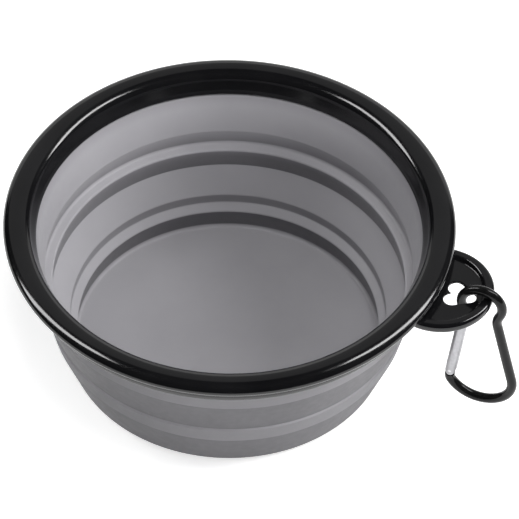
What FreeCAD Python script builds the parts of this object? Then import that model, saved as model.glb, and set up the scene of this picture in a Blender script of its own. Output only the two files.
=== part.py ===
import FreeCAD, Part
import math
import os
import Sketcher
from FreeCAD import Placement, Rotation, Vector

# Collapsible travel bowl: a soft moulded cup whose wall folds like a telescope, held by a
# two-piece hard rim with a round hanging tab, and a small spring-gate carabiner on the tab.
# Millimetres, +Z up. The origin is the centre of the base, on the plane that it stands on.
# The tab points along +X. The carabiner hangs in a plane parallel to XZ.

DIMENSIONS = {
    # Cup wall, inner face, from the rim down to the floor (radius and height of each corner).
    "mouth_in_r": 55.6, "mouth_in_z": 46.0,
    "upper_in_r": 53.0, "upper_in_z": 33.5,
    "groove_in_r": 53.7, "groove_in_z": 28.0,
    "ledge_in_r": 50.8, "ledge_in_z": 27.6,
    "crease_in_r": 51.2, "crease_in_z": 21.1,
    "cone_in_r": 45.7, "cone_in_z": 14.1,
    "waist_in_r": 45.7, "waist_in_z": 11.0,
    "sill_in_r": 43.5, "sill_in_z": 9.2,
    "floor_in_r": 44.3, "floor_in_z": 2.3,
    "floor_centre_r": 0.0, "floor_centre_z": 2.3,
    # Cup wall, outer face.
    "upper_out_r": 57.0, "upper_out_z": 33.5,
    "shoulder_out_r": 58.1, "shoulder_out_z": 36.8,
    "neck_out_r": 58.7, "neck_out_z": 44.0,
    "crease_out_r": 52.6, "crease_out_z": 21.1,
    "knuckle_out_r": 51.4, "knuckle_out_z": 15.5,
    "waist_out_r": 49.65, "waist_out_z": 11.0,
    "sill_out_r": 48.95, "sill_out_z": 9.2,
    "heel_out_r": 46.3, "heel_out_z": 2.2,
    "foot_out_r": 44.4, "foot_out_z": 0.0,
    "base_centre_r": 0.0, "base_centre_z": 0.0,
    # Lip of the cup, clamped between the two rim pieces.
    "lip_in_r": 56.9, "lip_in_z": 46.2,
    "lip_top_in_r": 58.9, "lip_top_in_z": 50.2,
    "lip_top_out_r": 60.2, "lip_top_out_z": 50.2,
    "lip_low_r": 60.2, "lip_low_z": 47.6,
    "lip_root_r": 59.0, "lip_root_z": 46.9,
    # Upper rim piece: a rounded bead with a skirt that covers the cup's mouth.
    "skirt_in_r": 55.4, "skirt_in_z": 46.5,
    "bead_in_r": 57.2, "bead_in_z": 50.5,
    "bead_out_r": 65.0, "bead_out_z": 50.5,
    "bead_low_r": 63.4, "bead_low_z": 48.7,
    "cavity_out_r": 62.7, "cavity_out_z": 48.7,
    "cavity_top_r": 62.7, "cavity_top_z": 50.5,
    "cavity_in_r": 58.6, "cavity_in_z": 50.5,
    "skirt_out_r": 56.5, "skirt_out_z": 46.5,
    "bead_crown_radius": 4.557,
    "bead_flank_radius": 2.0,
    # Lower rim piece: a ring that backs the lip and carries the tab.
    "frame_low_in_r": 59.1, "frame_low_in_z": 43.9,
    "frame_low_out_r": 61.2, "frame_low_out_z": 43.9,
    "frame_side_r": 62.5, "frame_side_z": 45.6,
    "frame_top_out_r": 62.5, "frame_top_out_z": 50.2,
    "frame_top_in_r": 60.4, "frame_top_in_z": 50.2,
    "frame_seat_out_r": 60.4, "frame_seat_out_z": 47.4,
    "frame_seat_in_r": 59.3, "frame_seat_in_z": 46.7,
    # Tab: a thin round plate with a raised border and a heart-shaped hole, its tip outwards.
    "tab_centre": 63.8,
    "tab_border_radius": 14.1,
    "tab_border_section": 1.5,
    "tab_border_height": 46.9,
    "tab_plate_thickness": 1.0,
    "tab_plate_bottom": 46.2,
    "tab_inner_trim": 60.6,
    "heart_lobe_radius": 2.4,
    "heart_lobe_offset": 2.2,
    "heart_lobe_centre": 68.0,
    "heart_tip_radius": 2.0,
    "heart_tip_centre": 72.6,
    # Carabiner: a bent wire. Lengths and bend radii are on the wire's centre line.
    "wire_diameter": 2.9,
    "clip_side_offset": 0.4,
    "hinge_end_x": 67.6,
    "hinge_end_z": 12.9,
    "gate_lean": 7.8,
    "end_lead": 0.6,
    "heel_radius": 3.0, "heel_turn": 40.0,
    "bottom_radius": 10.3, "bottom_turn": 98.5,
    "corner_radius": 8.3,
    "spine_lean": 12.7,
    "kink_radius": 5.9,
    "neck_length": 1.1,
    "hook_radius": 6.1, "hook_turn": 232.7,
    "nose_radius": 2.5, "nose_turn": 38.0,
    # Gate, its pins, plunger and spring.
    "gate_diameter": 3.3,
    "gate_end_gap": 0.35,
    "gate_slot_width": 1.3,
    "gate_bore_diameter": 2.2,
    "gate_bore_depth": 16.0,
    "gate_slot_end": 1.5,
    "latch_slot_depth": 3.45,
    "hinge_setback": 2.0,
    "hinge_pin_diameter": 1.0,
    "pin_clearance": 0.05,
    "latch_pin_diameter": 0.9,
    "latch_pin_setback": 1.6,
    "tongue_thickness": 0.9,
    "tongue_half_width": 1.1,
    "latch_tongue_length": 3.5,
    "latch_notch_height": 1.4,
    "latch_notch_depth": 0.6,
    "plunger_diameter": 2.0,
    "plunger_length": 2.2,
    "plunger_gap": 0.2,
    "spring_wire_diameter": 0.3,
    "spring_mean_radius": 0.75,
    "spring_pitch": 1.0,
    "spring_length": 12.0,
    # How far a cutting tool runs past what it cuts, and a joined piece into its neighbour.
    "cut_margin": 1.0,
    "root_overlap": 0.3,
}

FULL_TURN = 360

doc = FreeCAD.newDocument("travel_bowl")
sheet = doc.addObject("Spreadsheet::Sheet", "dims")
for row, (alias, value) in enumerate(DIMENSIONS.items(), start=1):
    sheet.set(f"A{row}", alias)
    sheet.set(f"B{row}", str(value))
    sheet.setAlias(f"B{row}", alias)
doc.recompute()


def dim(alias):
    return float(getattr(sheet, alias))


def origin_feature(body, role):
    return next(item for item in body.Origin.OriginFeatures if item.Role == role)


# Turned pieces: a closed profile in the XZ plane, revolved about Z.


def arc_between(first, last, radius):
    """Arc that bulges to the right of the way from first to last."""
    chord = last - first
    middle = (first + last) * 0.5
    side = Vector(chord.y, -chord.x, 0).normalize()
    sagitta = radius - math.sqrt(radius**2 - (chord.Length / 2) ** 2)
    return Part.Arc(first, middle + side * sagitta, last)


def revolved(label, corners, bends=None):
    """Body revolved from named corners. bends gives the arc radius that follows a corner."""
    bends = bends or {}
    body = doc.addObject("PartDesign::Body", label)
    body.Label = label
    sketch = body.newObject("Sketcher::SketchObject", f"{label}_profile")
    sketch.AttachmentSupport = [(origin_feature(body, "XZ_Plane"), "")]
    sketch.MapMode = "FlatFace"
    points = [Vector(dim(f"{name}_r"), dim(f"{name}_z"), 0) for name in corners]
    count = len(corners)
    for index, name in enumerate(corners):
        first, last = points[index], points[(index + 1) % count]
        if name in bends:
            sketch.addGeometry(arc_between(first, last, dim(bends[name])), False)
        else:
            sketch.addGeometry(Part.LineSegment(first, last), False)
    # An arc's own start and end follow its turning direction, so they are looked up.
    ends = []
    for index in range(count):
        start_point = sketch.getPoint(index, 1)
        forward = (start_point - points[index]).Length < 1e-6
        ends.append((1, 2) if forward else (2, 1))
    for index, name in enumerate(corners):
        after = (index + 1) % count
        sketch.addConstraint(
            Sketcher.Constraint("Coincident", index, ends[index][1], after, ends[after][0])
        )
        for kind, value, axis in (
            ("DistanceX", points[index].x, "r"),
            ("DistanceY", points[index].y, "z"),
        ):
            place = sketch.addConstraint(
                Sketcher.Constraint(kind, -1, 1, index, ends[index][0], value)
            )
            sketch.setExpression(f"Constraints[{place}]", f"dims.{name}_{axis}")
        if name in bends:
            place = sketch.addConstraint(
                Sketcher.Constraint("Radius", index, dim(bends[name]))
            )
            sketch.setExpression(f"Constraints[{place}]", f"dims.{bends[name]}")
    turn = body.newObject("PartDesign::Revolution", f"{label}_turn")
    turn.Profile = sketch
    turn.ReferenceAxis = (sketch, ["V_Axis"])
    turn.Angle = FULL_TURN
    body.Tip = turn
    doc.recompute()
    return body


# Part primitives, with sizes and places bound to the sheet.


def bind(item, bindings):
    for target, expression in bindings.items():
        item.setExpression(target, expression)
    return item


def cylinder(name, radius, height, x="0", y="0", z="0", along="z"):
    item = doc.addObject("Part::Cylinder", name)
    item.Angle = FULL_TURN
    if along == "y":
        item.Placement = Placement(Vector(), Rotation(Vector(1, 0, 0), -90))
    return bind(item, {
        "Radius": radius,
        "Height": height,
        ".Placement.Base.x": x,
        ".Placement.Base.y": y,
        ".Placement.Base.z": z,
    })


def box(name, length, width, height, x, y, z):
    item = doc.addObject("Part::Box", name)
    return bind(item, {
        "Length": length,
        "Width": width,
        "Height": height,
        ".Placement.Base.x": x,
        ".Placement.Base.y": y,
        ".Placement.Base.z": z,
    })


def fused(name, shapes):
    item = doc.addObject("Part::MultiFuse", name)
    item.Shapes = shapes
    return item


def cut(name, base, tools):
    tool = tools[0] if len(tools) == 1 else fused(f"{name}_tools", tools)
    item = doc.addObject("Part::Cut", name)
    item.Base = base
    item.Tool = tool
    return item


def common(name, base, tool):
    item = doc.addObject("Part::Common", name)
    item.Base = base
    item.Tool = tool
    return item


# Cup: one soft moulding, split where its wall folds.

cup_upper_band = revolved("cup_upper_band", [
    "upper_in", "upper_out", "shoulder_out", "neck_out", "lip_root", "lip_low",
    "lip_top_out", "lip_top_in", "lip_in", "mouth_in",
])
cup_upper_fold = revolved("cup_upper_fold", [
    "crease_in", "crease_out", "upper_out", "upper_in", "groove_in", "ledge_in",
])
cup_middle_band = revolved("cup_middle_band", [
    "waist_in", "waist_out", "knuckle_out", "crease_out", "crease_in", "cone_in",
])
cup_lower_fold = revolved("cup_lower_fold", [
    "sill_in", "sill_out", "waist_out", "waist_in",
])
cup_base = revolved("cup_base", [
    "base_centre", "foot_out", "heel_out", "sill_out", "sill_in", "floor_in", "floor_centre",
])

# Rim: the cover snaps over the frame's upstand and traps the cup's lip.

rim_cover = revolved(
    "rim_cover",
    ["skirt_out", "cavity_in", "cavity_top", "cavity_out", "bead_low", "bead_out",
     "bead_in", "skirt_in"],
    {"bead_low": "bead_flank_radius", "bead_out": "bead_crown_radius"},
)

frame_ring = revolved("frame_ring", [
    "frame_low_in", "frame_low_out", "frame_side", "frame_top_out", "frame_top_in",
    "frame_seat_out", "frame_seat_in",
])


def heart_hole():
    """Two lobes and a rounded tip, joined by two arms, cut through the tab's plate."""
    low = "dims.tab_plate_bottom - dims.cut_margin"
    tall = "dims.tab_plate_thickness + 2 * dims.cut_margin"
    tip = Vector(dim("heart_tip_centre"), 0, dim("tab_plate_bottom") - dim("cut_margin"))
    tools = [cylinder(
        "heart_tip", "dims.heart_tip_radius", tall, x="dims.heart_tip_centre", z=low,
    )]
    for side in (-1, 1):
        name = "left" if side < 0 else "right"
        tools.append(cylinder(
            f"heart_lobe_{name}", "dims.heart_lobe_radius", tall,
            x="dims.heart_lobe_centre", y=f"{side} * dims.heart_lobe_offset", z=low,
        ))
        lobe = Vector(dim("heart_lobe_centre"), side * dim("heart_lobe_offset"), tip.z)
        arm = doc.addObject("Part::Box", f"heart_arm_{name}")
        bind(arm, {
            "Length": str((lobe - tip).Length),
            "Width": "2 * dims.heart_tip_radius",
            "Height": tall,
        })
        aim = Placement(tip, Rotation(Vector(1, 0, 0), lobe - tip))
        arm.Placement = aim.multiply(
            Placement(Vector(0, -dim("heart_tip_radius"), 0), Rotation())
        )
        tools.append(arm)
    return tools


def rim_frame_piece():
    plate = cylinder(
        "tab_plate", "dims.tab_border_radius", "dims.tab_plate_thickness",
        x="dims.tab_centre", z="dims.tab_plate_bottom",
    )
    border = doc.addObject("Part::Torus", "tab_border")
    bind(border, {
        "Radius1": "dims.tab_border_radius",
        "Radius2": "dims.tab_border_section",
        ".Placement.Base.x": "dims.tab_centre",
        ".Placement.Base.z": "dims.tab_border_height",
    })
    trim = cylinder(
        "tab_trim", "dims.tab_inner_trim", "4 * dims.tab_border_section",
        z="dims.tab_border_height - 2 * dims.tab_border_section",
    )
    tab = cut("tab", fused("tab_blank", [plate, border]), [trim, *heart_hole()])
    return fused("rim_frame", [frame_ring, tab])


rim_frame = rim_frame_piece()

# Carabiner. Its pieces are built with the hinge pin at the origin and the gate along Z, then
# placed on the wire's hinge end.

GATE_AXIS, SWING_AXIS = Vector(0, 0, 1), Vector(0, 1, 0)
STRAIGHT_UP, STRAIGHT_DOWN = 90, 270

gate_tilt = Rotation(SWING_AXIS, dim("gate_lean"))
gate_way = gate_tilt.multVec(GATE_AXIS)
wire_start = Vector(dim("hinge_end_x"), dim("clip_side_offset"), dim("hinge_end_z"))
clip_place = Placement(wire_start + gate_way * dim("hinge_setback"), gate_tilt)


def heading(angle):
    return Vector(math.cos(math.radians(angle)), 0, math.sin(math.radians(angle)))


def wire_steps(spine_length):
    """Bends and straights of the wire, from its hinge end to its nose."""
    down = STRAIGHT_DOWN - dim("gate_lean")
    spine_way = FULL_TURN + STRAIGHT_UP + dim("spine_lean")
    corner_turn = spine_way - down - dim("heel_turn") - dim("bottom_turn")
    hook_way = down + FULL_TURN + dim("nose_turn") - dim("hook_turn")
    kink_turn = spine_way - hook_way
    return [
        ("line", dim("end_lead"), 0),
        ("arc", dim("heel_radius"), dim("heel_turn")),
        ("arc", dim("bottom_radius"), dim("bottom_turn")),
        ("arc", dim("corner_radius"), corner_turn),
        ("line", spine_length, 0),
        ("arc", dim("kink_radius"), -kink_turn),
        ("line", dim("neck_length"), 0),
        ("arc", dim("hook_radius"), dim("hook_turn")),
        ("arc", dim("nose_radius"), -dim("nose_turn")),
        ("line", dim("end_lead"), 0),
    ]


def trace(steps):
    """Tangent edges in the XZ plane, and the point where they end."""
    point = Vector(wire_start)
    angle = STRAIGHT_DOWN - dim("gate_lean")
    edges = []
    for kind, size, turn in steps:
        if kind == "line":
            after = point + heading(angle) * size
            if size > 0:
                edges.append(Part.LineSegment(point, after).toShape())
        else:
            side = math.copysign(1, turn)
            centre = point + heading(angle + 90 * side) * size
            middle = centre - heading(angle + turn / 2 + 90 * side) * size
            after = centre - heading(angle + turn + 90 * side) * size
            edges.append(Part.Arc(point, middle, after).toShape())
            angle += turn
        point = after
    return edges, point


def closed_wire_path():
    """The spine is as long as it takes for both ends to lie on the gate's axis."""
    across = gate_tilt.multVec(Vector(1, 0, 0))
    unclosed = trace(wire_steps(0))[1] - wire_start
    spine_way = heading(90 + dim("spine_lean"))
    spine_length = -unclosed.dot(across) / spine_way.dot(across)
    return trace(wire_steps(spine_length))


path_edges, nose_end = closed_wire_path()
nose_height = (nose_end - wire_start).dot(gate_way) - dim("hinge_setback")
gate_top = nose_height - dim("gate_end_gap")
latch_height = gate_top - dim("latch_pin_setback")


def swept_wire():
    path = Part.Wire(path_edges)
    across = path_edges[0].tangentAt(path_edges[0].FirstParameter)
    section = Part.Wire(
        Part.Circle(wire_start, across, dim("wire_diameter") / 2).toShape()
    )
    return path.makePipeShell([section], True, True)


def tongue(name, low, high, has_eye):
    """Flat blade on the gate's axis, in the hinge's own frame, with or without a pin's eye."""
    half = "dims.tongue_half_width"
    blade = box(
        name, f"2 * {half}", "dims.tongue_thickness", str(high - low),
        f"-{half}", "-dims.tongue_thickness / 2", str(low),
    )
    if not has_eye:
        return blade
    tip = cylinder(
        f"{name}_tip", half, "dims.tongue_thickness",
        y="-dims.tongue_thickness / 2", along="y",
    )
    hole = cylinder(
        f"{name}_hole", "dims.hinge_pin_diameter / 2 + dims.pin_clearance",
        "3 * dims.tongue_thickness", y="-1.5 * dims.tongue_thickness", along="y",
    )
    return cut(f"{name}_eye", fused(f"{name}_blade", [blade, tip]), [hole])


def carabiner_body_piece():
    hinge_tongue = tongue(
        "hinge_tongue", -dim("hinge_setback") - dim("root_overlap"), 0, True,
    )
    nose_tongue = tongue(
        "nose_tongue", nose_height - dim("latch_tongue_length"),
        nose_height + dim("root_overlap"), False,
    )
    notch = box(
        "latch_notch",
        "dims.tongue_half_width + dims.latch_notch_depth + dims.cut_margin",
        "3 * dims.tongue_thickness",
        "dims.latch_notch_height",
        "-dims.latch_notch_depth",
        "-1.5 * dims.tongue_thickness",
        str(latch_height - dim("latch_notch_height") / 2),
    )
    blades = fused("clip_blades", [hinge_tongue, cut("nose_hook", nose_tongue, [notch])])
    blades.Placement = clip_place
    wire = doc.addObject("Part::Feature", "clip_wire")
    wire.Shape = swept_wire()
    return fused("carabiner_body", [wire, blades])


def carabiner_gate_piece():
    radius = "dims.gate_diameter / 2"
    barrel = cylinder("gate_barrel", radius, str(gate_top))
    stub = cylinder("gate_stub", radius, radius, z="-dims.gate_diameter / 2")
    round_end = cylinder(
        "gate_round_end", radius, "2 * dims.gate_diameter",
        y="-dims.gate_diameter", along="y",
    )
    blank = fused("gate_blank", [barrel, common("gate_ears", stub, round_end)])
    wide = "2 * dims.gate_diameter"
    hinge_slot = box(
        "hinge_slot", wide, "dims.gate_slot_width",
        "dims.gate_diameter + dims.gate_slot_end",
        "-dims.gate_diameter", "-dims.gate_slot_width / 2", "-dims.gate_diameter",
    )
    latch_slot = box(
        "latch_slot", wide, "dims.gate_slot_width", "dims.latch_slot_depth + dims.cut_margin",
        "-dims.gate_diameter", "-dims.gate_slot_width / 2",
        f"{gate_top} - dims.latch_slot_depth",
    )
    bore = cylinder(
        "gate_bore", "dims.gate_bore_diameter / 2",
        "dims.gate_bore_depth - dims.tongue_half_width", z="dims.tongue_half_width",
    )
    pin_holes = [
        cylinder(
            name, f"dims.{pin}_pin_diameter / 2", wide,
            y="-dims.gate_diameter", z=str(level), along="y",
        )
        for name, pin, level in (
            ("hinge_eye", "hinge", 0),
            ("latch_eye", "latch", latch_height),
        )
    ]
    gate = cut("carabiner_gate", blank, [hinge_slot, latch_slot, bore, *pin_holes])
    gate.Placement = clip_place
    return gate


def cross_pin(label, radius, level):
    """Pin through both ears, flush with the gate's round sides."""
    length = "dims.gate_diameter - 2 * dims.pin_clearance"
    pin = cylinder(
        f"{label}_blank", radius, length,
        y="-dims.gate_diameter / 2 + dims.pin_clearance", z=str(level), along="y",
    )
    trim = cylinder(
        f"{label}_trim", "dims.gate_diameter / 2", "dims.gate_diameter",
        z=f"{level} - dims.gate_diameter / 2",
    )
    piece = common(label, pin, trim)
    piece.Placement = clip_place
    return piece


def plunger_piece():
    plunger = doc.addObject("Part::Cylinder", "gate_plunger")
    bind(plunger, {
        "Radius": "dims.plunger_diameter / 2",
        "Height": "dims.plunger_length",
    })
    rest = Vector(0, 0, dim("tongue_half_width") + dim("plunger_gap"))
    plunger.Placement = clip_place.multiply(Placement(rest, Rotation()))
    return plunger


def spring_piece():
    low = dim("tongue_half_width") + dim("plunger_gap") + dim("plunger_length")
    low += dim("spring_wire_diameter")
    helix = Part.makeHelix(
        dim("spring_pitch"), dim("spring_length"), dim("spring_mean_radius")
    )
    start = helix.Edges[0].valueAt(helix.Edges[0].FirstParameter)
    way = helix.Edges[0].tangentAt(helix.Edges[0].FirstParameter)
    section = Part.Wire(
        Part.Circle(start, way, dim("spring_wire_diameter") / 2).toShape()
    )
    coil = Part.Wire(helix.Edges).makePipeShell([section], True, True)
    coil.translate(Vector(0, 0, low))
    spring = doc.addObject("Part::Feature", "gate_spring")
    spring.Shape = coil
    spring.Placement = clip_place.multiply(spring.Placement)
    return spring


carabiner_body = carabiner_body_piece()
carabiner_gate = carabiner_gate_piece()
gate_hinge_pin = cross_pin("gate_hinge_pin", "dims.hinge_pin_diameter / 2", 0)
gate_latch_pin = cross_pin("gate_latch_pin", "dims.latch_pin_diameter / 2", latch_height)
gate_plunger = plunger_piece()
gate_spring = spring_piece()

doc.recompute()

NODES = [
    cup_upper_band, cup_upper_fold, cup_middle_band, cup_lower_fold, cup_base,
    rim_cover, rim_frame,
    carabiner_body, carabiner_gate, gate_hinge_pin, gate_latch_pin, gate_plunger,
    gate_spring,
]

for item in doc.Objects:
    broken = [state for state in item.State if state in ("Invalid", "Error")]
    if broken:
        raise RuntimeError(f"{item.Name}: {broken}")

os.makedirs("parts", exist_ok=True)
for node in NODES:
    shape = node.Shape
    if shape.isNull() or not shape.isValid() or shape.Volume <= 0:
        raise RuntimeError(f"{node.Label}: bad shape")
    if len(shape.Solids) != 1:
        raise RuntimeError(f"{node.Label}: {len(shape.Solids)} solids")
    shape.exportStep(f"parts/{node.Label}.step")
    centre = shape.Solids[0].CenterOfMass
    print(f"{node.Label:18s} {shape.Volume:10.2f} mm3  box z {shape.BoundBox.ZMin:6.2f} "
          f"to {shape.BoundBox.ZMax:6.2f}  centre {centre.x:6.2f} {centre.y:5.2f} {centre.z:6.2f}")
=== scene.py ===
import math

import bmesh
import bpy
from mathutils import Matrix, Vector


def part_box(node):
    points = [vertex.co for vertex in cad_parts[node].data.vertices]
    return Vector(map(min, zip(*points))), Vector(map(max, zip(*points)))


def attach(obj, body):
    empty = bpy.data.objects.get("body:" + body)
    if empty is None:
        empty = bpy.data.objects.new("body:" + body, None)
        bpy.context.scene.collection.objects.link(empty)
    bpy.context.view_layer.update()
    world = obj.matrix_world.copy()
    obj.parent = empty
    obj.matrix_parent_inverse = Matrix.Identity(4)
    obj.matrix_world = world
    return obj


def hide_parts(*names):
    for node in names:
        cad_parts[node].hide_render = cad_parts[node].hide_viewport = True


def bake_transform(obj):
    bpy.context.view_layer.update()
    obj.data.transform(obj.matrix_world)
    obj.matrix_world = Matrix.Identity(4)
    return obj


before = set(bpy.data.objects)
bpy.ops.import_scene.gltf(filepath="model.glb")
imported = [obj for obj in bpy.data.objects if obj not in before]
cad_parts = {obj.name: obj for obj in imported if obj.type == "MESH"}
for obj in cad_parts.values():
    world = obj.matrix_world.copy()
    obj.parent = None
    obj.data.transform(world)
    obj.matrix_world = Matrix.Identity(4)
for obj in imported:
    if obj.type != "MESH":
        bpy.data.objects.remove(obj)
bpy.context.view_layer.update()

# A collapsible travel bowl: soft grey cup, glossy black two-piece rim with a hanging tab, and
# a small black carabiner with a bare metal gate. Shapes are in millimetres and are scaled to
# metres when their mesh is made. The frame's own axes are used: Z is up and the tab is at +X.

MM = 0.001
RIM_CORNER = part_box("rim_cover")[1] / MM
RIM_RADIUS, RIM_TOP = RIM_CORNER.x, RIM_CORNER.z
LATHE_STEPS = 320
COVER_CREASE, PART_CREASE = 40, 35
ON_AXIS = 1e-6
# name of the cup's stored attribute that holds its painted shade
PAINTED_FOLD_SHADE = "painted_fold_shade"


def ramp(value, zero, one):
    """Straight ramp that is 0 at one value and 1 at another, and level beyond both."""
    return min(1, max(0, (value - zero) / (one - zero)))


# --- outlines -------------------------------------------------------------------------------

ARC_STEP = math.radians(9)
LARGEST_SHARE = 0.48


def corner_arc(before, corner, after, radius):
    """Points of the arc that rounds one corner, on at most its share of the two runs."""
    back = (before - corner).normalized()
    ahead = (after - corner).normalized()
    half = back.angle(ahead) / 2
    shortest = min((before - corner).length, (after - corner).length)
    reach = min(radius / math.tan(half), LARGEST_SHARE * shortest)
    radius = reach * math.tan(half)
    centre = corner + (back + ahead).normalized() * radius / math.sin(half)
    first = corner + back * reach - centre
    last = corner + ahead * reach - centre
    turn = math.pi - 2 * half
    count = max(2, math.ceil(turn / ARC_STEP))
    side = math.copysign(1, first.cross(last))
    points = []
    for k in range(count + 1):
        angle = side * turn * k / count
        cos, sin = math.cos(angle), math.sin(angle)
        points.append(centre + Vector((
            first.x * cos - first.y * sin, first.x * sin + first.y * cos,
        )))
    return points


def rounded(corners, closed=False, longest=0.8):
    """Outline through corners (x, y, radius), rounded, with no run longer than longest."""
    places = [Vector((x, y)) for x, y, _ in corners]
    count = len(corners)
    points = []
    for k, (_, _, radius) in enumerate(corners):
        inner = closed or 0 < k < count - 1
        if radius > 0 and inner:
            points += corner_arc(places[k - 1], places[k], places[(k + 1) % count], radius)
        else:
            points.append(places[k])
    if closed:
        points.append(points[0])
    dense = [points[0]]
    for point in points[1:]:
        run = point - dense[-1]
        parts = max(1, math.ceil(run.length / longest))
        start = dense[-1]
        dense += [start + run * (j / parts) for j in range(1, parts + 1)]
    return dense[:-1] if closed else dense


# --- meshes ---------------------------------------------------------------------------------


def add_mesh(name, vertices, faces):
    """Object in the scene from points in millimetres, its faces turned outwards."""
    mesh = bpy.data.meshes.new(name)
    mesh.from_pydata([Vector(v) * MM for v in vertices], [], faces)
    mesh.validate()
    shell = bmesh.new()
    shell.from_mesh(mesh)
    bmesh.ops.recalc_face_normals(shell, faces=shell.faces)
    shell.to_mesh(mesh)
    shell.free()
    mesh.polygons.foreach_set("use_smooth", [True] * len(mesh.polygons))
    piece = bpy.data.objects.new(name, mesh)
    bpy.context.scene.collection.objects.link(piece)
    return piece


def lathe(name, outline, closed, centre=(0, 0), steps=LATHE_STEPS):
    """Mesh of an outline of (radius, height) points turned about a vertical axis."""
    vertices, faces, rows = [], [], []
    for point in outline:
        if point.x < ON_AXIS:
            rows.append([len(vertices)])
            vertices.append((centre[0], centre[1], point.y))
            continue
        rows.append(list(range(len(vertices), len(vertices) + steps)))
        for k in range(steps):
            angle = 2 * math.pi * k / steps
            vertices.append((
                centre[0] + point.x * math.cos(angle),
                centre[1] + point.x * math.sin(angle),
                point.y,
            ))
    pairs = list(zip(rows, rows[1:]))
    if closed:
        pairs.append((rows[-1], rows[0]))
    for first, second in pairs:
        for k in range(steps):
            after = (k + 1) % steps
            if len(first) == 1:
                faces.append((first[0], second[after], second[k]))
            elif len(second) == 1:
                faces.append((first[k], first[after], second[0]))
            else:
                faces.append((first[k], first[after], second[after], second[k]))
    return add_mesh(name, vertices, faces)


def cylinder(name, radius, low, high, steps):
    corners = [(0, low), (radius, low), (radius, high), (0, high)]
    return lathe(name, [Vector(corner) for corner in corners], closed=False, steps=steps)


def prism(name, rings):
    """Solid through equal-sized rings of points, with flat ends."""
    count = len(rings[0])
    vertices = [point for ring in rings for point in ring]
    faces = [tuple(range(count))[::-1]]
    for level in range(len(rings) - 1):
        low, high = level * count, (level + 1) * count
        for k in range(count):
            after = (k + 1) % count
            faces.append((low + k, low + after, high + after, high + k))
    faces.append(tuple(range((len(rings) - 1) * count, len(rings) * count)))
    return add_mesh(name, vertices, faces)


def combine(piece, other, operation):
    """Boolean of two pieces. The other one is used up."""
    modifier = piece.modifiers.new(operation.lower(), "BOOLEAN")
    modifier.operation = operation
    modifier.object = other
    modifier.solver = "EXACT"
    settle(piece)
    bpy.data.objects.remove(other)


def settle(piece):
    """Make the result of the piece's modifiers its mesh."""
    graph = bpy.context.evaluated_depsgraph_get()
    result = bpy.data.meshes.new_from_object(piece.evaluated_get(graph))
    piece.modifiers.clear()
    piece.data = result


def sharpen(piece, degrees):
    """Smooth shading, with edges sharper than the angle kept crisp."""
    piece.data.polygons.foreach_set("use_smooth", [True] * len(piece.data.polygons))
    piece.data.set_sharp_from_angle(angle=math.radians(degrees))


# --- materials ------------------------------------------------------------------------------

NOISE_LOW, NOISE_HIGH = 0.3, 0.7


class Shader:
    """A node tree around one Principled shader. Sockets are named with _ for each space."""

    def __init__(self, name, **sockets):
        self.material = bpy.data.materials.new(name)
        self.material.use_nodes = True
        self.nodes = self.material.node_tree.nodes
        self.links = self.material.node_tree.links
        self.surface = self.nodes["Principled BSDF"]
        for socket, value in sockets.items():
            self.surface.inputs[socket.replace("_", " ")].default_value = value
        self.place = self.nodes.new("ShaderNodeTexCoord").outputs["Object"]

    def node(self, kind, inputs=None, **settings):
        made = self.nodes.new(kind)
        for setting, value in settings.items():
            setattr(made, setting, value)
        for socket, value in (inputs or {}).items():
            if isinstance(value, bpy.types.NodeSocket):
                self.links.new(value, made.inputs[socket])
            else:
                made.inputs[socket].default_value = value
        return made

    def feed(self, socket, value):
        self.links.new(value, self.surface.inputs[socket])

    def noise(self, scale, detail=4, roughness=0.55, stretch=None):
        place = self.place
        if stretch:
            place = self.node("ShaderNodeMapping", {"Vector": place, "Scale": stretch}).outputs[0]
        made = self.node("ShaderNodeTexNoise", {
            "Vector": place, "Scale": scale, "Detail": detail, "Roughness": roughness,
        })
        return made.outputs["Fac"]

    def spread(self, value, low, high):
        """Noise as a number from low to high."""
        return self.node("ShaderNodeMapRange", {
            "Value": value, "From Min": NOISE_LOW, "From Max": NOISE_HIGH,
            "To Min": low, "To Max": high,
        }).outputs[0]

    def tint(self, value, dark, light):
        """Noise as a colour from dark to light."""
        made = self.node("ShaderNodeValToRGB", {"Fac": value})
        ends = ((NOISE_LOW, dark), (NOISE_HIGH, light))
        for element, (position, colour) in zip(made.color_ramp.elements, ends):
            element.position = position
            element.color = (*colour, 1)
        return made.outputs[0]

    def bump(self, height, strength, distance, below=None):
        inputs = {"Height": height, "Strength": strength, "Distance": distance}
        if below is not None:
            inputs["Normal"] = below
        return self.node("ShaderNodeBump", inputs).outputs[0]


def silicone():
    """Matte moulded silicone, with painted shade mixed into its grey where the folds are steep
    and overhang and on outer walls that face down, and a painted shadow under the rim's skirt.
    """
    shader = Shader("grey_silicone", Specular_IOR_Level=0.3, Sheen_Weight=0.06,
                    Sheen_Roughness=0.5)
    grey = shader.tint(
        shader.noise(38, detail=3), (0.290, 0.285, 0.302), (0.318, 0.312, 0.330),
    )
    # painted shade: the grey is mixed towards a dark grey by the cup's stored shade attribute
    shade_attribute = shader.node("ShaderNodeAttribute", attribute_name=PAINTED_FOLD_SHADE)
    painted_shade = shader.node("ShaderNodeMix", {
        "Factor": shade_attribute.outputs["Fac"], "A": grey, "B": (0.088, 0.086, 0.094, 1),
    }, data_type="RGBA")
    shader.feed("Base Color", painted_shade.outputs["Result"])
    shader.feed("Roughness", shader.spread(shader.noise(420, detail=2), 0.52, 0.64))
    waves = shader.bump(shader.noise(120, detail=3), 0.05, 0.0006)
    shader.feed("Normal", shader.bump(shader.noise(4200, detail=2), 0.10, 0.00012, waves))
    return shader.material


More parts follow.
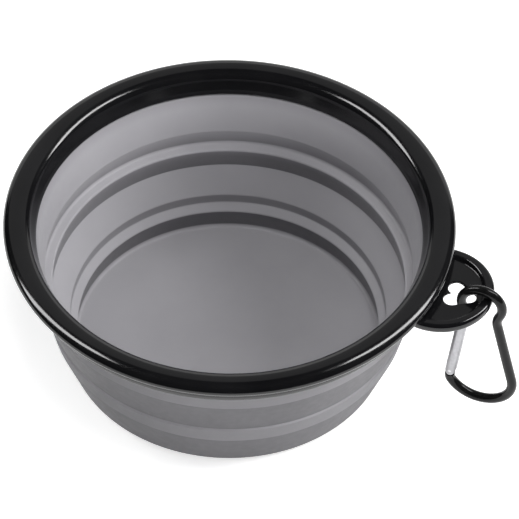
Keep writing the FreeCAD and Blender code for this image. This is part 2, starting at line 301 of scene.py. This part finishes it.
def gloss_plastic():
    """Glossy black moulding, with a faint sink in the surface and uneven gloss."""
    shader = Shader("black_gloss_plastic", Specular_IOR_Level=0.45)
    shader.feed("Base Color", shader.tint(
        shader.noise(60, detail=3), (0.0038, 0.0038, 0.0043), (0.0060, 0.0060, 0.0066),
    ))
    wear = shader.noise(260, detail=6, roughness=0.7)
    shader.feed("Roughness", shader.spread(wear, 0.09, 0.15))
    sink = shader.bump(shader.noise(55, detail=2), 0.06, 0.0008)
    shader.feed("Normal", shader.bump(shader.noise(2600, detail=3), 0.03, 0.0001, sink))
    return shader.material


def black_wire():
    """Black coated metal wire, a little worn."""
    shader = Shader("black_coated_wire", Specular_IOR_Level=0.22)
    shader.feed("Base Color", shader.tint(
        shader.noise(300, detail=5), (0.003, 0.003, 0.003), (0.007, 0.007, 0.007),
    ))
    wear = shader.noise(900, detail=5, roughness=0.7)
    shader.feed("Roughness", shader.spread(wear, 0.12, 0.22))
    shader.feed("Normal", shader.bump(shader.noise(1800, detail=3), 0.05, 0.0001))
    return shader.material


DULLEST = 0.86


def bare_metal(name, colour, along):
    """Drawn metal, with fine lines along the axis whose scale is small."""
    shader = Shader(name, Metallic=1.0)
    dark = tuple(DULLEST * part for part in colour)
    lines = shader.noise(1500, detail=4, stretch=along)
    shader.feed("Base Color", shader.tint(shader.noise(700, detail=4), dark, colour))
    shader.feed("Roughness", shader.spread(lines, 0.26, 0.42))
    shader.feed("Normal", shader.bump(lines, 0.08, 0.0001))
    return shader.material


def paint(piece, material):
    piece.data.materials.clear()
    piece.data.materials.append(material)


# --- cup ------------------------------------------------------------------------------------

# radius, height and rounding of each corner
CUP_OUTLINE = [
    # inner face, from the middle of the floor up to the mouth
    (0, 2.3, 0), (44.3, 2.3, 1.0), (43.5, 9.2, 0.6), (45.7, 11.0, 0.6), (45.7, 14.1, 0.8),
    (51.2, 21.1, 0.3), (50.8, 27.6, 0.6), (53.7, 28.0, 0.9), (53.0, 33.5, 0.8),
    (55.6, 46.0, 0.2),
    # lip, held between the two rim pieces
    (56.9, 46.2, 0.2), (58.9, 50.2, 0.2), (60.2, 50.2, 0.2), (60.2, 47.6, 0.2),
    (59.0, 46.9, 0.2),
    # outer face, down to the foot
    (58.7, 44.0, 0.2), (58.1, 36.8, 0.4), (52.4, 21.7, 0.2), (52.8, 21.2, 0.2),
    (51.4, 15.5, 0.4),
    (46.3, 2.2, 1.2), (44.4, 0.0, 1.2),
    # underside, slightly hollow inside the foot ring
    (40.0, 0.0, 0.3), (39.5, 0.4, 0.3), (0, 0.4, 0),
]
CUP_NODES = (
    "cup_upper_band", "cup_upper_fold", "cup_middle_band", "cup_lower_fold", "cup_base",
)
CUP_RUN = 1.0
FOOT_HEIGHT, SKIRT_HEIGHT, MOUTH_HEIGHT = 1, 42.5, 45.5
# strength of the painted shade on the inner fold walls, of the painted shadow under the skirt,
# and of the painted shade on outer walls that face down
INNER_SHADE_STRENGTH, SKIRT_SHADOW_STRENGTH, OUTER_SHADE_STRENGTH = 0.72, 0.25, 0.6
# where each ramp of painted shade is 0 and 1: how far a face leads outwards, or a height
INNER_STEEP, INNER_DEPTH, OUTER_STEEP = (0.06, -0.09), (33, 25), (-0.22, -0.34)


def painted_fold_shade(outline):
    """How much painted shade each outline point gets, from 0 to 1: on steep inner walls deep in
    the folds, as a painted shadow just under the skirt, and on outer walls that face down.
    """
    lip = max(range(len(outline)), key=lambda k: outline[k].y)
    last = len(outline) - 1
    shades = []
    for k, point in enumerate(outline):
        run = outline[min(k + 1, last)] - outline[max(k - 1, 0)]
        outwards = run.normalized().x
        if k < lip:
            # painted shade on steep inner walls deep in the cup, plus a painted shadow band just
            # under the skirt
            steep = ramp(outwards, *INNER_STEEP)
            depth = ramp(point.y, *INNER_DEPTH)
            under_skirt_shadow = ramp(point.y, SKIRT_HEIGHT, MOUTH_HEIGHT)
            shades.append(INNER_SHADE_STRENGTH * steep * depth + SKIRT_SHADOW_STRENGTH * under_skirt_shadow)
        elif outwards < 0 and FOOT_HEIGHT < point.y < MOUTH_HEIGHT:
            # painted shade on outer walls that lean downwards
            shades.append(OUTER_SHADE_STRENGTH * ramp(outwards, *OUTER_STEEP))
        else:
            shades.append(0)
    return shades


def make_cup():
    outline = rounded(CUP_OUTLINE, longest=CUP_RUN)
    cup = lathe("silicone_cup", outline, closed=False)
    values = []
    for point, painted_shade in zip(outline, painted_fold_shade(outline)):
        values += [painted_shade] * (1 if point.x < ON_AXIS else LATHE_STEPS)
    # the painted shade of each outline point is stored on the mesh for the silicone material
    stored = cup.data.attributes.new(PAINTED_FOLD_SHADE, "FLOAT", "POINT")
    stored.data.foreach_set("value", values)
    paint(cup, silicone())
    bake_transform(cup)
    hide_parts(*CUP_NODES)


# --- rim ------------------------------------------------------------------------------------

BEAD_HALF_WIDTH, BEAD_HALF_HEIGHT = 3.9, 2.2
BEAD_MIDDLE = (RIM_RADIUS - BEAD_HALF_WIDTH, RIM_TOP - BEAD_HALF_HEIGHT)
BEAD_START, BEAD_END, BEAD_STEPS = -52, 172, 64


def bead_arc():
    """The bead's oval section, from low outside over the top to the inner side."""
    points = []
    for k in range(BEAD_STEPS + 1):
        angle = math.radians(BEAD_START + (BEAD_END - BEAD_START) * k / BEAD_STEPS)
        points.append((
            BEAD_MIDDLE[0] + BEAD_HALF_WIDTH * math.cos(angle),
            BEAD_MIDDLE[1] + BEAD_HALF_HEIGHT * math.sin(angle),
            0,
        ))
    return points


def make_rim_cover(material):
    """The upper moulding: a skirt inside the mouth, and a bead over the lip."""
    outline = [
        (56.5, 46.7, 0.2), (58.6, 50.3, 0.3), (62.7, 50.3, 0.3), (62.7, 48.75, 0.1),
    ]
    outline += bead_arc()
    outline += [(55.9, 47.9, 0.8), (55.4, 46.5, 0.25), (56.2, 46.5, 0.2)]
    cover = lathe("rim_cover_moulding", rounded(outline, closed=True), closed=True)
    sharpen(cover, COVER_CREASE)
    paint(cover, material)
    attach(cover, "rim")
    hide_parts("rim_cover")


FRAME_OUTLINE = [
    (59.1, 43.9, 0.15), (61.2, 43.9, 0.35), (61.35, 44.7, 0.2), (62.3, 45.2, 0.5),
    (62.5, 46.4, 0.3), (62.5, 50.1, 0.2), (60.4, 50.1, 0.2), (60.4, 47.4, 0.15),
    (59.3, 46.7, 0.15),
]
TAB_X = 63.8
PLATE_LOW, PLATE_HIGH = 46.2, 47.2
TAB_OUTLINE = [
    (0, PLATE_LOW, 0), (12.5, PLATE_LOW, 0.4), (13.1, 45.4, 0.7), (15.6, 45.4, 1.3),
    (15.6, 48.4, 1.2), (12.9, 48.4, 0.75), (12.2, PLATE_HIGH, 0.5), (0, PLATE_HIGH, 0),
]
LOBE_X, LOBE_SIDE, LOBE_RADIUS = 68.0, 2.2, 2.4
TIP_X, TIP_RADIUS = 72.6, 2.0
HOLE_FLARE, HOLE_ARC_STEPS = 0.22, 24
TAB_STEPS = 192
TAB_TRIM_RADIUS, TAB_TRIM_LOW, TAB_TRIM_HIGH = 61.0, 40, 52


def heart_outline(grow):
    """Heart-shaped closed line, its tip along +X, moved outwards by grow."""
    lobe, tip = Vector((LOBE_X, LOBE_SIDE)), Vector((TIP_X, 0))
    way = tip - lobe
    side = math.atan2(way.y, way.x) + math.acos((LOBE_RADIUS - TIP_RADIUS) / way.length)
    half = []
    for k in range(HOLE_ARC_STEPS + 1):
        angle = side * k / HOLE_ARC_STEPS
        half.append(tip + Vector((math.cos(angle), math.sin(angle))) * (TIP_RADIUS + grow))
    last = math.pi + math.asin(LOBE_SIDE / (LOBE_RADIUS + grow))
    for k in range(HOLE_ARC_STEPS + 1):
        angle = side + (last - side) * k / HOLE_ARC_STEPS
        half.append(lobe + Vector((math.cos(angle), math.sin(angle))) * (LOBE_RADIUS + grow))
    return half + [Vector((point.x, -point.y)) for point in reversed(half[1:-1])]


def make_heart_cutter():
    """The hole, flared a little at both faces of the plate."""
    levels = (
        (PLATE_LOW - 1, HOLE_FLARE), (PLATE_LOW, HOLE_FLARE), (PLATE_LOW + HOLE_FLARE, 0),
        (PLATE_HIGH - HOLE_FLARE, 0), (PLATE_HIGH, HOLE_FLARE), (PLATE_HIGH + 1, HOLE_FLARE),
    )
    return prism("heart_cutter", [
        [(x, y, z) for x, y in heart_outline(grow)] for z, grow in levels
    ])


def make_rim_frame(material):
    """The lower moulding: a ring under the lip, and the tab with its raised border."""
    ring = lathe("rim_frame_moulding", rounded(FRAME_OUTLINE, closed=True), closed=True)
    tab = lathe("tab", rounded(TAB_OUTLINE), closed=False, centre=(TAB_X, 0), steps=TAB_STEPS)
    trim = cylinder("trim", TAB_TRIM_RADIUS, TAB_TRIM_LOW, TAB_TRIM_HIGH, LATHE_STEPS)
    combine(tab, trim, "DIFFERENCE")
    combine(tab, make_heart_cutter(), "DIFFERENCE")
    combine(ring, tab, "UNION")
    sharpen(ring, PART_CREASE)
    paint(ring, material)
    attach(ring, "rim")
    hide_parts("rim_frame")


# --- carabiner ------------------------------------------------------------------------------

# The wire's centre line lies in an upright plane at Y = CLIP_SIDE. Its points there are (x, z).
CLIP_SIDE = 0.4
GATE_LEAN, SPINE_LEAN = 7.8, 12.7
HINGE_END = Vector((67.6, 12.9))
HINGE_SETBACK = 2.0
WIRE_RADIUS, GATE_RADIUS = 1.45, 1.65
WIRE_SIDES, WIRE_CHAMFER = 40, 0.35
STRAIGHT_STEP, BEND_STEP = 1.5, 4


def heading(degrees):
    """Unit vector at an angle from +X, in the wire's plane."""
    return Vector((math.cos(math.radians(degrees)), math.sin(math.radians(degrees))))


def wire_steps(spine_length):
    """Straights (length, 0) and bends (radius, turn in degrees), from the hinge to the nose."""
    down = 270 - GATE_LEAN
    heel_turn, bottom_turn, hook_turn, nose_turn = 40.0, 98.5, 232.7, 38.0
    spine_way = 450 + SPINE_LEAN
    corner_turn = spine_way - down - heel_turn - bottom_turn
    kink_turn = spine_way - (down + 360 + nose_turn - hook_turn)
    return [
        (0.6, 0), (3.0, heel_turn), (10.3, bottom_turn), (8.3, corner_turn),
        (spine_length, 0), (5.9, -kink_turn), (1.1, 0), (6.1, hook_turn),
        (2.5, -nose_turn), (0.6, 0),
    ]


def trace(steps):
    """Points and headings along the wire, in its own plane."""
    point, angle = HINGE_END.copy(), 270 - GATE_LEAN
    points, ways = [point.copy()], [angle]
    for size, turn in steps:
        if turn == 0:
            parts = max(1, math.ceil(abs(size) / STRAIGHT_STEP))
            for k in range(1, parts + 1):
                points.append(point + heading(angle) * size * k / parts)
                ways.append(angle)
        else:
            side = math.copysign(1, turn)
            centre = point + heading(angle + 90 * side) * size
            parts = max(3, math.ceil(abs(turn) / BEND_STEP))
            for k in range(1, parts + 1):
                way = angle + turn * k / parts
                points.append(centre - heading(way + 90 * side) * size)
                ways.append(way)
            angle += turn
        point = points[-1].copy()
    return points, ways


def wire_path():
    """The spine is as long as it takes for both ends to lie on the gate's axis."""
    across = heading(-GATE_LEAN)
    gap = trace(wire_steps(0))[0][-1] - HINGE_END
    length = -gap.dot(across) / heading(90 + SPINE_LEAN).dot(across)
    return trace(wire_steps(length))


def make_wire(points, ways):
    """Round wire with chamfered ends, swept along the path."""
    start, end = points[0].copy(), points[-1].copy()
    centres = [start] + points + [end]
    centres[1] = start + heading(ways[0]) * WIRE_CHAMFER
    centres[-2] = end - heading(ways[-1]) * WIRE_CHAMFER
    ways = [ways[0]] + ways + [ways[-1]]
    rings = []
    for k, (centre, way) in enumerate(zip(centres, ways)):
        at_end = k in (0, len(centres) - 1)
        radius = WIRE_RADIUS - WIRE_CHAMFER if at_end else WIRE_RADIUS
        normal = heading(way + 90)
        ring = []
        for j in range(WIRE_SIDES):
            angle = 2 * math.pi * j / WIRE_SIDES
            out = radius * math.cos(angle)
            ring.append((
                centre.x + normal.x * out,
                CLIP_SIDE + radius * math.sin(angle),
                centre.y + normal.y * out,
            ))
        rings.append(ring)
    return prism("carabiner_wire", rings)


# In the gate's own frame the hinge pin is at the origin and the gate's length runs along Z.
TONGUE_HALF_WIDTH, TONGUE_HALF_THICKNESS = 1.1, 0.45
HINGE_TONGUE_ROOT, HINGE_TONGUE_EYE = 2.4, 0.55
LATCH_TONGUE_REACH, LATCH_TONGUE_ROOT, LATCH_TONGUE_BEVEL = 3.5, 0.4, 0.12
NOTCH_BACK, NOTCH_HALF_HEIGHT = 0.6, 0.7
NOSE_GAP, LATCH_PIN_SETBACK = 0.35, 1.6
GATE_CHAMFER, GATE_STEPS = 0.3, 64
SLOT_HALF_WIDTH, HINGE_SLOT_TOP, LATCH_SLOT_DEPTH = 0.65, 1.5, 3.45
BORE_RADIUS, BORE_LOW, BORE_HIGH, BORE_STEPS = 1.1, 1.1, 16, 48
HINGE_PIN_HOLE, LATCH_PIN_HOLE = 0.5, 0.45
PAST = 3  # how far a cutter reaches past what it cuts


def gate_place():
    """From the gate's own frame to the object's."""
    pin = HINGE_END + heading(90 - GATE_LEAN) * HINGE_SETBACK
    turn = Matrix.Rotation(math.radians(GATE_LEAN), 4, "Y")
    return Matrix.Translation(Vector((pin.x, CLIP_SIDE, pin.y)) * MM) @ turn


def slab(name, along_x, half_y, along_z, soften=0):
    """Block from one x and z to another, half_y to each side. Soften bevels its edges."""
    left, right = along_x
    ring = [(left, -half_y), (right, -half_y), (right, half_y), (left, half_y)]
    block = prism(name, [[(x, y, z) for x, y in ring] for z in along_z])
    if soften:
        bevel = block.modifiers.new("bevel", "BEVEL")
        bevel.width = soften * MM
        bevel.segments = 2
        settle(block)
    return block


def rod_across(name, radius, half, level):
    """Round bar along Y, half to each side, at a height in the gate's frame."""
    ring = [(radius * math.cos(math.radians(a)), radius * math.sin(math.radians(a)))
            for a in range(0, 360, 8)]
    return prism(name, [[(x, y, level + z) for x, z in ring] for y in (half, -half)])


def make_carabiner_body(points, ways, place, nose, material):
    """Bent wire with a flat tongue at each end, one for the hinge and one for the latch."""
    body = make_wire(points, ways)
    width = (-TONGUE_HALF_WIDTH, TONGUE_HALF_WIDTH)
    hinge_tongue = slab("hinge_tongue", width, TONGUE_HALF_THICKNESS, (-HINGE_TONGUE_ROOT, 0))
    tip = rod_across("tip", TONGUE_HALF_WIDTH, TONGUE_HALF_THICKNESS, 0)
    combine(hinge_tongue, tip, "UNION")
    combine(hinge_tongue, rod_across("eye", HINGE_TONGUE_EYE, PAST, 0), "DIFFERENCE")
    reach = (nose - LATCH_TONGUE_REACH, nose + LATCH_TONGUE_ROOT)
    latch_tongue = slab("latch_tongue", width, TONGUE_HALF_THICKNESS, reach, LATCH_TONGUE_BEVEL)
    pin = nose - NOSE_GAP - LATCH_PIN_SETBACK
    height = (pin - NOTCH_HALF_HEIGHT, pin + NOTCH_HALF_HEIGHT)
    combine(latch_tongue, slab("notch", (-NOTCH_BACK, PAST), PAST, height), "DIFFERENCE")
    for tongue in (hinge_tongue, latch_tongue):
        tongue.data.transform(place)
        combine(body, tongue, "UNION")
    sharpen(body, PART_CREASE)
    paint(body, material)
    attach(body, "carabiner")
    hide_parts("carabiner_body")


def make_gate(place, nose, material):
    """Tube with a round hinge end, slots for both tongues, a spring bore and pin holes."""
    top = nose - NOSE_GAP
    outline = [(0, -GATE_RADIUS, 0), (GATE_RADIUS, -GATE_RADIUS, 0.1),
               (GATE_RADIUS, top, GATE_CHAMFER), (0, top, 0)]
    gate = lathe("gate_tube", rounded(outline), closed=False, steps=GATE_STEPS)
    across = (-PAST, PAST)
    bottom = -GATE_RADIUS - PAST
    round_end = slab("round_end", across, PAST, (bottom, 0))
    combine(round_end, rod_across("round", GATE_RADIUS, PAST + 1, 0), "DIFFERENCE")
    hinge_slot = slab("hinge_slot", across, SLOT_HALF_WIDTH, (bottom, HINGE_SLOT_TOP))
    latch_slot = slab("latch_slot", across, SLOT_HALF_WIDTH, (top - LATCH_SLOT_DEPTH, top + PAST))
    cutters = (
        round_end, hinge_slot, latch_slot,
        cylinder("bore", BORE_RADIUS, BORE_LOW, BORE_HIGH, BORE_STEPS),
        rod_across("hinge_hole", HINGE_PIN_HOLE, PAST, 0),
        rod_across("latch_hole", LATCH_PIN_HOLE, PAST, top - LATCH_PIN_SETBACK),
    )
    for cutter in cutters:
        combine(gate, cutter, "DIFFERENCE")
    gate.data.transform(place)
    sharpen(gate, PART_CREASE)
    paint(gate, material)
    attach(gate, "gate")
    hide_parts("carabiner_gate")


def make_carabiner():
    points, ways = wire_path()
    nose = (points[-1] - HINGE_END).length - HINGE_SETBACK
    place = gate_place()
    make_carabiner_body(points, ways, place, nose, black_wire())
    aluminium = bare_metal("bare_aluminium", (0.40, 0.40, 0.415), (1, 1, 0.06))
    make_gate(place, nose, aluminium)


# --- stage ----------------------------------------------------------------------------------

# angles in degrees, distance and width in metres, and the aim's offset in the picture in mm
VIEW_AZIMUTH, VIEW_ELEVATION, VIEW_ROLL = 18.4, 47.69, 1.04
VIEW_DISTANCE, VIEW_WIDTH = 2.968, 0.14888
AIM_RIGHT, AIM_UP = 8.58, -9.70
SENSOR_WIDTH = 36
FLOOR_REACH, FLOOR_DROP = 6000, 0.05

# name, direction, distance, width and height, power. Directions are level with the floor and
# turned with the view, so +X is the picture's right and +Y is away from the camera.
MATTE_LIGHTS = (
    ("key", (0.82, 0.12, 0.56), 1.3, (0.7, 0.7), 17),
    ("top", (0.10, -0.25, 0.95), 1.3, (0.6, 0.6), 9.5),
    ("left", (-0.82, 0.35, 0.46), 1.3, (0.6, 0.6), 8),
    ("front", (0.30, -1.0, 0.22), 1.3, (0.9, 0.3), 12),
    ("back", (-0.20, 1.0, 0.12), 1.6, (1.2, 0.3), 4),
)
GLOSS_LIGHTS = (
    ("back_panel", (0, 1, 0.25), 1.8, (3.0, 0.7), 5),
    ("ceiling_panel", (0, 0.75, 0.66), 2.0, (2.6, 1.7), 5),
    ("right_box", (0.62, 0.16, 0.72), 1.1, (0.20, 0.8), 8),
    ("left_box", (-0.62, 0.16, 0.72), 1.1, (0.24, 0.8), 8),
)


def make_camera():
    """Camera at the photograph's viewing angle, far off as for a long lens."""
    azimuth, elevation = math.radians(VIEW_AZIMUTH), math.radians(VIEW_ELEVATION)
    back = Vector((
        math.sin(azimuth) * math.cos(elevation),
        -math.cos(azimuth) * math.cos(elevation),
        math.sin(elevation),
    ))
    level = Vector((math.cos(azimuth), math.sin(azimuth), 0))
    above = back.cross(level)
    roll = math.radians(VIEW_ROLL)
    right = level * math.cos(roll) + above * math.sin(roll)
    up = above * math.cos(roll) - level * math.sin(roll)
    aim = Vector((0, 0, BEAD_MIDDLE[1])) + right * AIM_RIGHT + up * AIM_UP
    data = bpy.data.cameras.new("camera")
    data.sensor_width = SENSOR_WIDTH
    data.lens = SENSOR_WIDTH * VIEW_DISTANCE / VIEW_WIDTH
    data.clip_end = 20
    camera = bpy.data.objects.new("camera", data)
    turn = Matrix((right, up, back)).transposed().to_4x4()
    camera.matrix_world = Matrix.Translation(aim * MM + back * VIEW_DISTANCE) @ turn
    bpy.context.scene.collection.objects.link(camera)
    bpy.context.scene.camera = camera


def soft_box(name, direction, distance, size, power, gloss):
    """Soft box that faces the bowl, and lights either reflections only or all but them."""
    azimuth = math.radians(VIEW_AZIMUTH)
    x, y, z = direction
    turned = Vector((
        x * math.cos(azimuth) - y * math.sin(azimuth),
        x * math.sin(azimuth) + y * math.cos(azimuth),
        z,
    )).normalized()
    data = bpy.data.lights.new(name, "AREA")
    data.shape = "RECTANGLE"
    data.size, data.size_y = size
    data.energy = power
    light = bpy.data.objects.new(name, data)
    light.location = turned * distance
    light.rotation_euler = turned.to_track_quat("Z", "Y").to_euler()
    light.visible_glossy = gloss
    light.visible_diffuse = not gloss
    bpy.context.scene.collection.objects.link(light)


def make_floor():
    """A floor that is almost white by itself and sends no light back on the bowl."""
    reach, drop = FLOOR_REACH, -FLOOR_DROP
    corners = [(-reach, -reach, drop), (reach, -reach, drop),
               (reach, reach, drop), (-reach, reach, drop)]
    floor = add_mesh("floor", corners, [(0, 1, 2, 3)])
    shader = Shader("pale_floor", Roughness=0.6, Specular_IOR_Level=0.2,
                    Emission_Color=(1, 1, 1, 1), Emission_Strength=0.55)
    pale = shader.tint(shader.noise(3), (0.90, 0.90, 0.90), (0.92, 0.92, 0.92))
    shader.feed("Base Color", pale)
    paint(floor, shader.material)
    floor.visible_diffuse = False


def make_world():
    """A pale backdrop that only the camera sees. The soft boxes do all the lighting."""
    world = bpy.data.worlds.new("studio")
    world.use_nodes = True
    backdrop = world.node_tree.nodes["Background"]
    backdrop.inputs["Color"].default_value = (0.95, 0.95, 0.96, 1)
    world.cycles_visibility.diffuse = False
    world.cycles_visibility.glossy = False
    bpy.context.scene.world = world


def make_stage():
    make_floor()
    make_world()
    for light in MATTE_LIGHTS:
        soft_box(*light, gloss=False)
    for light in GLOSS_LIGHTS:
        soft_box(*light, gloss=True)
    bpy.context.scene.view_settings.view_transform = "Standard"
    make_camera()


# --- assembly -------------------------------------------------------------------------------

rim_material = gloss_plastic()
make_cup()
make_rim_cover(rim_material)
make_rim_frame(rim_material)
make_carabiner()
steel = bare_metal("plain_steel", (0.62, 0.62, 0.63), (1, 0.1, 1))
for node in ("gate_hinge_pin", "gate_latch_pin", "gate_plunger", "gate_spring"):
    paint(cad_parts[node], steel)
make_stage()
